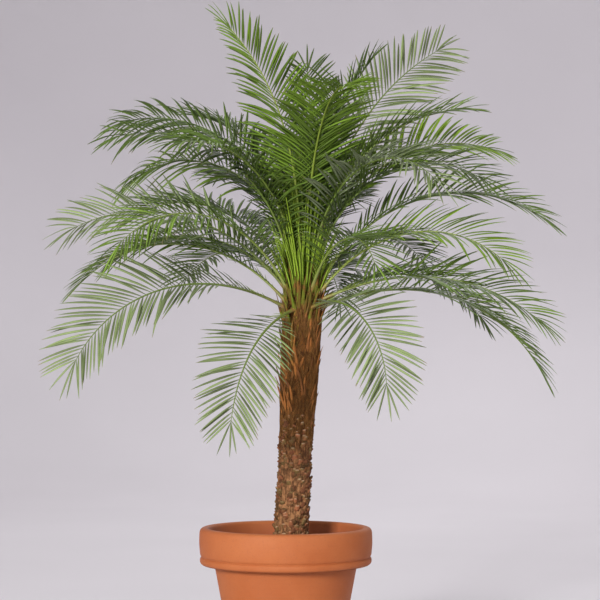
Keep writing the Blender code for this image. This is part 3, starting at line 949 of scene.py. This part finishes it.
def green_of(number):
    """Which green a frond wears: the table's for a front one, and in turn for the far ones."""
    if number <= len(FRONT_GREENS):
        return FRONT_GREENS[number - 1]
    return int(number % 3 == 1)


def nodes_of(first, last):
    """Names of the CAD nodes of a run of fronds."""
    names = []
    for number in range(first, last + 1):
        names.append(f"frond_{number:02d}")
        if number in TWO_PART_FRONDS:
            names.append(f"frond_{number:02d}_end")
    return names


def golden_round(count, scatter, rng):
    """Bearings that turn on by the golden angle, with a little scatter."""
    return np.radians(GOLDEN_ANGLE) * np.arange(count) + rng.normal(0.0, scatter, count)


def dead_bases(count, low, high, length, width, depth, rise, taper, seed):
    """Old leaf bases on a spiral up the trunk: short tapering pegs that point up and out.

    A peg runs p(s) = root + L s (cos e out + sin e Z + lean side) + 0.05 L s^2 out. Its section
    is a flattened round of width w and depth d times the taper at s, and every corner is drawn
    in or out a little.
    """
    rng = np.random.default_rng(seed)
    bearing = golden_round(count, 0.30, rng)
    height = low + (high - low) * (np.arange(count) + rng.uniform(0.0, 1.0, count)) / count
    out = level_ray(bearing)
    root = round_trunk(bearing, height, -0.004)
    tilt = np.radians(rise + rng.normal(0.0, 9.0, count))[:, None]
    side = np.cross(UPWARD, out)
    lean = rng.normal(0.0, 0.16, count)[:, None]
    direction = unit(np.cos(tilt) * out + np.sin(tilt) * UPWARD + lean * side)
    reached = length * rng.uniform(0.65, 1.25, count)[:, None, None]
    path = root[:, None] + reached * BASE_SHARES[:, None] * direction[:, None]
    curl = 0.05 * reached[..., 0] * BASE_SHARES ** 2
    path = path + curl[..., None] * out[:, None]
    across, over = frames_along(path, np.broadcast_to(side[:, None], path.shape))
    wide = 0.5 * width * rng.uniform(0.7, 1.25, count)[:, None] * np.array(taper)
    deep = 0.5 * depth * rng.uniform(0.7, 1.35, count)[:, None] * np.array(taper)
    angle = around(BASE_CORNERS)
    uneven = rng.uniform(0.82, 1.15, (count, len(BASE_SHARES), BASE_CORNERS))
    section = np.stack((wide[..., None] * np.cos(angle) * uneven,
                        deep[..., None] * np.sin(angle) * uneven), -1)
    return path, across, over, section, rng.uniform(0.0, 1.0, count)


def fibres(count, low, high, length, thickness, slant, seed):
    """Dry strands wound up round the trunk.

    A strand climbs p(s) on the trunk at bearing b + k s and height h + L s, with a slight wave,
    and stands off it by a small bulge 4 s (1 - s), so that both ends go under.
    """
    rng = np.random.default_rng(seed)
    bearing = rng.uniform(0.0, 2.0 * np.pi, count)[:, None]
    height = rng.uniform(low, high, count)[:, None]
    reached = length * rng.uniform(0.5, 1.4, count)[:, None]
    turn = rng.normal(0.0, slant, count)[:, None]
    s = FIBRE_SHARES[None]
    wave = 0.05 * np.sin(6.0 * s + rng.uniform(0.0, 6.28, (count, 1)))
    bulge = (0.0008 + rng.uniform(0.0, 0.0030, (count, 1))) * 4.0 * s * (1.0 - s) - 0.0010
    path = round_trunk(bearing + turn * s + wave, height + reached * s, bulge)
    out = unit(path - trunk_centre(path[..., 2]))
    across, over = frames_along(path, np.cross(out, UPWARD))
    angle = np.radians((90.0, 210.0, 330.0))
    thin = thickness * rng.uniform(0.6, 1.3, (count, 1)) * FIBRE_TAPER
    section = thin[..., None, None] * np.stack((np.cos(angle), np.sin(angle)), -1)
    return path, across, over, section, rng.uniform(0.0, 1.0, count)


class PALM_OT_pot(bpy.types.Operator):
    """Turns the clay pot: tapered body, rolled rim with a lower bead, and inside wall."""

    bl_idname = "palm.pot"
    bl_label = "Clay pot"

    def execute(self, context):
        settings = context.scene.palm_pot
        neck = POT_HEIGHT - RIM_HEIGHT
        mouth = RIM_RADIUS - RIM_WALL
        groove = RIM_RADIUS - GROOVE_DEPTH
        bead = groove + settings.bead
        # Radius, height and rounding of each corner
        corners = (
            (0.0, 0.0, 0.0),
            (BASE_RADIUS, 0.0, 0.003),
            (BODY_RADIUS - 0.0010, neck - 0.004, 0.003),
            (BODY_RADIUS + 0.003, neck + 0.003, 0.003),
            (groove - 0.004, neck, 0.0035),
            (bead, neck, 0.0085),
            (bead, neck + 0.015, 0.0055),
            (groove, neck + 0.0165, 0.0012),
            (RIM_RADIUS - 0.0028, neck + 0.021, 0.003),
            (RIM_RADIUS, neck + 0.048, 0.012),
            (RIM_RADIUS - 0.0015, POT_HEIGHT, RIM_ROUND),
            (mouth, POT_HEIGHT, 0.008),
            (BODY_RADIUS - BODY_WALL, neck, 0.020),
            (BASE_RADIUS - BODY_WALL, FLOOR_THICKNESS, 0.006),
            (0.0, FLOOR_THICKNESS, 0.0),
        )
        points, sides, fans = turned(eased(corners), settings.sides)
        pot = add_piece("clay_pot", points, (sides, fans), [clay_look(settings)], ["pot"])
        level = points[:, 2]
        radius = np.hypot(points[:, 0], points[:, 1])
        wall = (BASE_RADIUS - 0.006, BODY_RADIUS - 0.006, mouth + 0.002)
        inside = radius < np.interp(level, (0.0, neck, POT_HEIGHT), wall)
        # The tint darkens the inner wall downward, partly as damp and partly as painted shade
        damp_and_shade = np.clip((POT_HEIGHT - DAMP_SHADE_START - level) / DAMP_SHADE_FADE, 0.0, 1.0)
        set_tint(pot, np.where(inside & (level > FLOOR_THICKNESS), damp_and_shade, 0.0))
        return {"FINISHED"}


def crumb_shapes(count, reach, rng):
    """Crumbs that lie on the soil out to a reach, clear of the trunk: short uneven lumps.

    A crumb runs p(s) = place + r s d, and its section's corners are drawn in or out at random.
    """
    place = np.sqrt(rng.uniform(0.060 ** 2, reach ** 2, count))
    bearing = rng.uniform(0.0, 2.0 * np.pi, count)
    size = rng.uniform(0.0012, 0.0040, count) * rng.uniform(0.6, 1.0, count)
    centre = place[:, None] * level_ray(bearing) + (SOIL_LEVEL - 0.0005) * UPWARD
    aim = unit(rng.normal(0.0, 1.0, (count, 3)) * (1.0, 1.0, 0.4))
    path = centre[:, None] + size[:, None, None] * CRUMB_SHARES[:, None] * aim[:, None]
    wished = np.broadcast_to(np.cross(aim, (0.3, 0.5, 1.0))[:, None], path.shape)
    across, over = frames_along(path, wished)
    angle = around(CRUMB_CORNERS)
    uneven = rng.uniform(0.5, 0.95, (count, len(CRUMB_SHARES), CRUMB_CORNERS))
    swell = CRUMB_TAPER[None, :, None] * uneven
    section = np.stack((swell * np.cos(angle), swell * np.sin(angle)), -1)
    section = size[:, None, None, None] * section
    return path, across, over, section, rng.uniform(0.0, 1.0, count)


class PALM_OT_soil(bpy.types.Operator):
    """Lays the potting soil: an uneven top with loose crumbs on it."""

    bl_idname = "palm.soil"
    bl_label = "Potting soil"

    def execute(self, context):
        settings = context.scene.palm_pot
        neck = POT_HEIGHT - RIM_HEIGHT
        filled = (SOIL_LEVEL - FLOOR_THICKNESS) / (neck - FLOOR_THICKNESS)
        wall = np.interp(SOIL_LEVEL, (FLOOR_THICKNESS, neck, POT_HEIGHT),
                         (BASE_RADIUS - BODY_WALL, BODY_RADIUS - BODY_WALL,
                          RIM_RADIUS - RIM_WALL)) + 0.002 * min(filled, 1.0)
        reach = np.concatenate((np.linspace(0.004, wall, 70)[::-1], (0.0,)))
        bottom = SOIL_LEVEL - 0.030
        top_rings = np.stack((reach, np.full(len(reach), SOIL_LEVEL)), -1)
        profile = np.concatenate((((0.0, bottom), (wall - 0.004, bottom)), top_rings))
        points, quads, fans = turned(profile, 160)
        radius = np.hypot(points[:, 0], points[:, 1])
        turn = np.arctan2(points[:, 1], points[:, 0]) % (2.0 * np.pi) / (2.0 * np.pi)
        top = points[:, 2] > SOIL_LEVEL - 0.001
        lumps = (0.0030 * smooth_noise(turn * 16, radius / 0.020, 16, SEED)
                 + 0.0014 * smooth_noise(turn * 48, radius / 0.006, 48, SEED + 1))
        fade = np.clip(radius / 0.03, 0.0, 1.0)
        points[:, 2] += np.where(top, lumps * fade - 0.002, 0.0)
        add_piece("potting_soil", points, (quads, fans), [earth_look(settings)], ["soil"])
        shapes = crumb_shapes(settings.grains, wall - 0.006, np.random.default_rng(SEED + 2))
        look = fibre_look("soil_crumbs", tone=(0.085, 0.055, 0.035), dark=(0.020, 0.012, 0.008))
        carried_piece("soil_crumbs", shapes, CRUMB_SHARES[None], [look], [])
        return {"FINISHED"}


class PALM_OT_trunk(bpy.types.Operator):
    """Raises the trunk: an uneven, finely ribbed bark surface round the leaning axis."""

    bl_idname = "palm.trunk"
    bl_label = "Trunk"

    def execute(self, context):
        settings = context.scene.palm_trunk
        rows, columns = BARK_ROWS, BARK_COLUMNS
        bottom = SOIL_LEVEL - 0.012
        height = np.linspace(bottom, HEART_TIP_LEVEL - 0.001, rows)[:, None] * np.ones((1, columns))
        angle = np.linspace(0.0, 2.0 * np.pi, columns, endpoint=False) * np.ones((rows, 1))
        turn = angle / (2.0 * np.pi)
        young = np.clip((height - OLD_BARK_LEVEL) / BARK_CHANGE, 0.0, 1.0)
        # Columns round the trunk and height of a cell of each of the four unevennesses
        cells = ((18, 0.013), (13, 0.045), (84, 0.020), (60, 0.004))
        knobs, slabs, ribbing, pits = (
            smooth_noise(turn * number, (height - bottom) / tall, number, SEED + 3 + order)
            for order, (number, tall) in enumerate(cells))
        relief = ((1.0 - young) * KNOB_DEPTH * knobs + young * SLAB_DEPTH * slabs
                  + RIBBING_DEPTH * ribbing + PIT_DEPTH * pits - BARK_SETBACK)
        calm = np.clip((HEART_TIP_LEVEL - height) / 0.12, 0.0, 1.0)
        points = round_trunk(angle, height, relief * calm).reshape(-1, 3)
        ends = np.stack((trunk_centre(bottom), trunk_centre(HEART_TIP_LEVEL)))
        faces = (turn_loops(rows, columns), end_fans(rows, columns))
        add_piece("trunk_bark", np.concatenate((points, ends)), faces, [bark_look(settings)],
                  ["trunk"])
        return {"FINISHED"}


class PALM_OT_bark_pieces(bpy.types.Operator):
    """Sets the old leaf stubs, long leaf bases, green sheaths and loose fibres on the trunk."""

    bl_idname = "palm.bark_pieces"
    bl_label = "Leaf stubs and fibres"

    def execute(self, context):
        settings = context.scene.palm_trunk
        dark = settings.bark_cleft_shade
        along = np.linspace(0.0, 1.0, len(BASE_SHARES))[None]
        stubs = dead_bases(settings.stubs, SOIL_LEVEL, STUB_TOP_LEVEL + 0.02,
                           length=settings.stub_length, width=0.0108, depth=0.0056, rise=62.0,
                           taper=(1.2, 1.15, 1.05, 0.95, 0.6), seed=SEED + 7)
        # Old stubs: painted shade in their grooves, and a pale end that is a painted highlight
        look = stub_look("old_stub", tone=(0.370, 0.135, 0.058), dark=dark,
                         end=(0.50, 0.33, 0.200), other=toned(settings.stub_olive, 0.75))
        carried_piece("leaf_stubs", stubs, along, [look], [])
        boots = dead_bases(settings.boots, STUB_TOP_LEVEL - 0.01, CROWN_LEVEL + 0.02,
                           length=0.060, width=0.0062, depth=0.0020, rise=88.8,
                           taper=(1.0, 1.15, 1.0, 0.65, 0.15), seed=SEED + 8)
        look = stub_look("young_leaf_base", tone=settings.bark_red, dark=toned(dark, 1.5),
                         end=(0.30, 0.135, 0.040), olive=(0.150, 0.155, 0.020))
        carried_piece("leaf_bases", boots, along, [look], [])
        sheaths = dead_bases(settings.sheaths, CROWN_LEVEL - 0.060, CROWN_LEVEL + 0.055,
                             length=0.075, width=0.0072, depth=0.0032, rise=86.0,
                             taper=(1.2, 1.2, 1.0, 0.5, 0.08), seed=SEED + 11)
        look = stub_look("green_sheath", tone=(0.135, 0.185, 0.014), dark=(0.110, 0.046, 0.010),
                         end=(0.115, 0.165, 0.014), other=(0.190, 0.092, 0.018))
        carried_piece("leaf_sheaths", sheaths, along, [look], [])
        strands = fibres(settings.fibres, STUB_TOP_LEVEL - 0.06, CROWN_LEVEL + 0.02,
                         length=0.055, thickness=0.00050, slant=0.55, seed=SEED + 9)
        look = fibre_look("dry_fibre", tone=(0.34, 0.155, 0.045), dark=(0.085, 0.036, 0.010))
        carried_piece("bark_fibres", strands, FIBRE_SHARES[None], [look], [])
        return {"FINISHED"}


def spine_shapes(lines, rng):
    """Stiff spines on one frond's bare stalk: straight needles that shorten towards the foot."""
    share = np.repeat(SPINE_PLACES, 2)
    count = len(share)
    side = np.tile((1.0, -1.0), len(SPINE_PLACES))
    share = share + rng.uniform(-0.006, 0.006, count)
    point, run, left, up = along_rib(lines, share)
    angle = np.radians(rng.uniform(35.0, 55.0, count))[:, None]
    direction = unit(run * np.cos(angle) + (side[:, None] * left + 0.4 * up) * np.sin(angle))
    length = (0.012 + 0.28 * (share - 0.06)) * rng.uniform(0.8, 1.3, count)
    path = point[:, None] + length[:, None, None] * SPINE_SHARES[:, None] * direction[:, None]
    across, over = frames_along(path, np.broadcast_to(run[:, None], path.shape))
    angle = around(SPINE_CORNERS)
    thin = SPINE_THICKNESS * SPINE_TAPER[None, :, None]
    section = np.stack((thin * np.cos(angle), thin * np.sin(angle)), -1)
    section = np.broadcast_to(section, (count, len(SPINE_SHARES), SPINE_CORNERS, 2))
    return path, across, over, section, rng.uniform(0.3, 1.0, count)


class PALM_OT_ribs(bpy.types.Operator):
    """Carries the leaf stalks and ribs along the fronds' arches, with their spines."""

    bl_idname = "palm.ribs"
    bl_label = "Stalks and ribs"

    def execute(self, context):
        settings = context.scene.palm_fronds
        rows = frond_rows()
        points, run, left, up = rib_lines(rows)
        keep = np.concatenate((np.arange(8), np.arange(8, RIB_STEPS + 1, 2)))
        shares = RIB_SHARES[keep]
        rng = np.random.default_rng(SEED + 10)
        look = stalk_look(settings)
        count = len(rows)
        section = np.broadcast_to(rib_sections(shares)[None],
                                  (count, len(shares), RIB_CORNERS, 2))
        tint = np.array([STALK_TINTS[green_of(number)] for number in range(1, count + 1)])
        shapes = (points[:, keep], left[:, keep], up[:, keep], section,
                  tint + rng.uniform(-0.08, 0.08, count))
        carried_piece("frond_ribs", shapes, shares[None], [look], nodes_of(1, count))
        batches = [spine_shapes(lines, rng) for lines in zip(points, run, left, up)]
        along = np.linspace(0.3, 1.0, len(SPINE_SHARES))[None]
        carried_piece("stalk_spines", joined(batches), along, [look], [])
        return {"FINISHED"}


class PALM_OT_leaflets(bpy.types.Operator):
    """Grows the folded leaflets along every frond's rib, and the young blades round the heart."""

    bl_idname = "palm.leaflets"
    bl_label = "Leaflets"

    def execute(self, context):
        settings = context.scene.palm_fronds
        under = (0.095, 0.150, 0.030)
        greens = [
            # Deep is a darker copy as painted shade
            leaf_look("shaded_deep_leaflet", settings.deep, 0.42, under),
            leaf_look("mid_leaflet", settings.mid, 0.42, under),
            leaf_look("fresh_leaflet", settings.fresh, 0.38, under),
            # Pale is partly the greyish underside and partly painted sheen
            leaf_look("pale_sheen_leaflet", settings.pale, 0.46, under=(0.27, 0.31, 0.20)),
            leaf_look("young_leaflet", settings.young, 0.40, under=(0.20, 0.28, 0.04), foot=0.2),
        ]
        rows = frond_rows()
        every = rib_lines(rows)
        rng = np.random.default_rng(SEED)
        for name, first, last, closeness, slimness in LEAF_GROUPS:
            batches = []
            dealt = []
            for number in range(first, last + 1):
                lines = [line[number - 1] for line in every]
                spacing = settings.leaflet_spacing * OWN_CLOSENESS.get(number, closeness)
                breadth = settings.leaflet_width * slimness
                droop = settings.droop * OWN_DROOP.get(number, 1.0)
                shapes = leaflet_shapes(lines, rows[number - 1, 4], spacing, breadth, droop,
                                        settings.fold, OWN_SCATTER.get(number, 1.0), rng)
                batches.append(shapes)
                dealt.append(np.full(len(shapes[0]), green_of(number)))
            carried_piece(name, joined(batches), LEAF_SHARES[None], greens,
                          nodes_of(first, last), np.concatenate(dealt))
        blades = heart_blades(settings.heart_blades, rng)
        carried_piece("heart_blades", blades, LEAF_SHARES[None], greens[-1:], [])
        return {"FINISHED"}


def heart_blades(count, rng):
    """Young blades that stand round the heart, the inner ones upright and the outer ones leaning.

    A blade runs p(s) = foot + L (s cos e out + s sin e Z) + bow L s^2 out + lean L s^2 side, and
    its section is a narrow V, folded almost shut at the foot and opening towards the tip.
    """
    share = (np.arange(count) + 0.5) / count
    bearing = golden_round(count, 0.2, rng)
    out = level_ray(bearing)
    foot = round_trunk(bearing, CROWN_LEVEL + 0.020 + 0.100 * share, -0.003)
    rise = np.radians(70.0 + 17.0 * share + rng.normal(0.0, 3.0, count))[:, None]
    direction = np.cos(rise) * out + np.sin(rise) * UPWARD
    reached = ((0.090 + 0.160 * share) * rng.uniform(0.7, 1.25, count))[:, None, None]
    s = LEAF_SHARES[None, :, None]
    bow = rng.uniform(-0.02, 0.14, count)[:, None, None]
    path = foot[:, None] + reached * (s * direction[:, None] + s ** 2 * bow * out[:, None])
    side = np.cross(UPWARD, out)
    lean = rng.normal(0.0, 0.05, count)[:, None, None]
    path = path + reached * s ** 2 * lean * side[:, None]
    across, over = frames_along(path, np.broadcast_to(side[:, None], path.shape))
    width = HEART_BLADE_WIDTH * rng.uniform(0.7, 1.2, count)[:, None] * LEAF_WIDTHS
    fold = np.radians(np.interp(LEAF_SHARES, (0.0, 0.5, 1.0), (68.0, 44.0, 30.0)))
    section = folded_blades(width, fold)
    return path, across, over, section, np.clip(rng.normal(0.62, 0.20, count), 0.0, 1.0)


class PALM_OT_stage(bpy.types.Operator):
    """Sets the pale round stage, the soft lights and the camera at the photograph's angle."""

    bl_idname = "palm.stage"
    bl_label = "Stage"

    def execute(self, context):
        settings = context.scene.palm_stage
        outside = STAGE_RADIUS + STAGE_WALL
        # Radius, height and rounding of each corner
        corners = ((0.0, 0.0, 0.0), (STAGE_RADIUS, 0.0, STAGE_ROUND),
                   (STAGE_RADIUS, STAGE_HEIGHT, 0.0), (outside, STAGE_HEIGHT, 0.0),
                   (outside, -STAGE_UNDERSIDE, 0.0), (0.0, -STAGE_UNDERSIDE, 0.0))
        points, sides, fans = turned(eased(corners, 24)[::-1], 96)
        mesh = bpy.data.meshes.new("stage_bowl")
        mesh.from_pydata(points.tolist(), [], sides.tolist() + fans.tolist())
        mesh.materials.append(stage_look(settings))
        mesh.shade_smooth()
        bowl = bpy.data.objects.new("stage_bowl", mesh)
        context.scene.collection.objects.link(bowl)
        self.add_light("key_light", (-2.9, -6.9, 2.5), size=1.5, power=settings.key, beam=70)
        self.add_light("fill_light", (4.2, -4.9, 4.0), size=3.4, power=settings.fill)
        self.add_light("rear_light", (1.5, 6.0, 5.0), size=3.4, power=settings.rear)
        world = bpy.data.worlds.new("soft_sky")
        world.use_nodes = True
        background = world.node_tree.nodes["Background"]
        background.inputs["Color"].default_value = (1.0, 0.985, 0.98, 1.0)
        background.inputs["Strength"].default_value = settings.sky
        context.scene.world = world
        context.scene.view_settings.view_transform = "Standard"
        data = bpy.data.cameras.new("photo_camera")
        data.lens = CAMERA_LENS
        data.sensor_width = CAMERA_SENSOR
        data.clip_end = CAMERA_END
        camera = bpy.data.objects.new("photo_camera", data)
        camera.location = (CAMERA_X, -CAMERA_DISTANCE, CAMERA_LEVEL)
        tilt = math.atan2(CAMERA_AIM_LEVEL - CAMERA_LEVEL, CAMERA_DISTANCE)
        camera.rotation_euler = (math.pi / 2 + tilt, 0.0, 0.0)
        context.scene.collection.objects.link(camera)
        context.scene.camera = camera
        return {"FINISHED"}

    def add_light(self, name, place, size, power, beam=180):
        """One square area light that looks at the middle of the plant, its beam in degrees."""
        data = bpy.data.lights.new(name, "AREA")
        data.spread = math.radians(beam)
        data.size = size
        data.energy = power
        light = bpy.data.objects.new(name, data)
        light.location = place
        aim = Vector(LIGHT_AIM) - light.location
        light.rotation_euler = aim.to_track_quat("-Z", "Y").to_euler()
        bpy.context.scene.collection.objects.link(light)


class PALM_PT_panel(bpy.types.Panel):
    """The palm's sizes, colours and pieces."""

    bl_label = "Potted palm"
    bl_idname = "PALM_PT_panel"
    bl_space_type = "VIEW_3D"
    bl_region_type = "UI"
    bl_category = "Palm"

    def draw(self, context):
        for title, attribute, operators in PANEL_ROWS:
            box = self.layout.box()
            box.label(text=title)
            settings = getattr(context.scene, attribute)
            for key in settings.__annotations__:
                box.prop(settings, key)
            for operator in operators:
                box.operator(operator)


PANEL_ROWS = (
    ("Pot", "palm_pot", ("palm.pot", "palm.soil")),
    ("Trunk", "palm_trunk", ("palm.trunk", "palm.bark_pieces")),
    ("Fronds", "palm_fronds", ("palm.ribs", "palm.leaflets")),
    ("Stage", "palm_stage", ("palm.stage",)),
)
SETTINGS = (
    ("palm_pot", PotSettings),
    ("palm_trunk", TrunkSettings),
    ("palm_fronds", FrondSettings),
    ("palm_stage", StageSettings),
)
CLASSES = (PotSettings, TrunkSettings, FrondSettings, StageSettings, PALM_OT_pot, PALM_OT_soil,
           PALM_OT_trunk, PALM_OT_bark_pieces, PALM_OT_ribs, PALM_OT_leaflets, PALM_OT_stage,
           PALM_PT_panel)


def register():
    for kind in CLASSES:
        bpy.utils.register_class(kind)
    for attribute, kind in SETTINGS:
        setattr(bpy.types.Scene, attribute, bpy.props.PointerProperty(type=kind))


def unregister():
    for attribute, kind in SETTINGS:
        delattr(bpy.types.Scene, attribute)
    for kind in reversed(CLASSES):
        bpy.utils.unregister_class(kind)


def main():
    """Builds every piece in order."""
    register()
    bpy.ops.palm.pot()
    bpy.ops.palm.soil()
    bpy.ops.palm.trunk()
    bpy.ops.palm.bark_pieces()
    bpy.ops.palm.ribs()
    bpy.ops.palm.leaflets()
    bpy.ops.palm.stage()


if __name__ == "__main__":
    main()
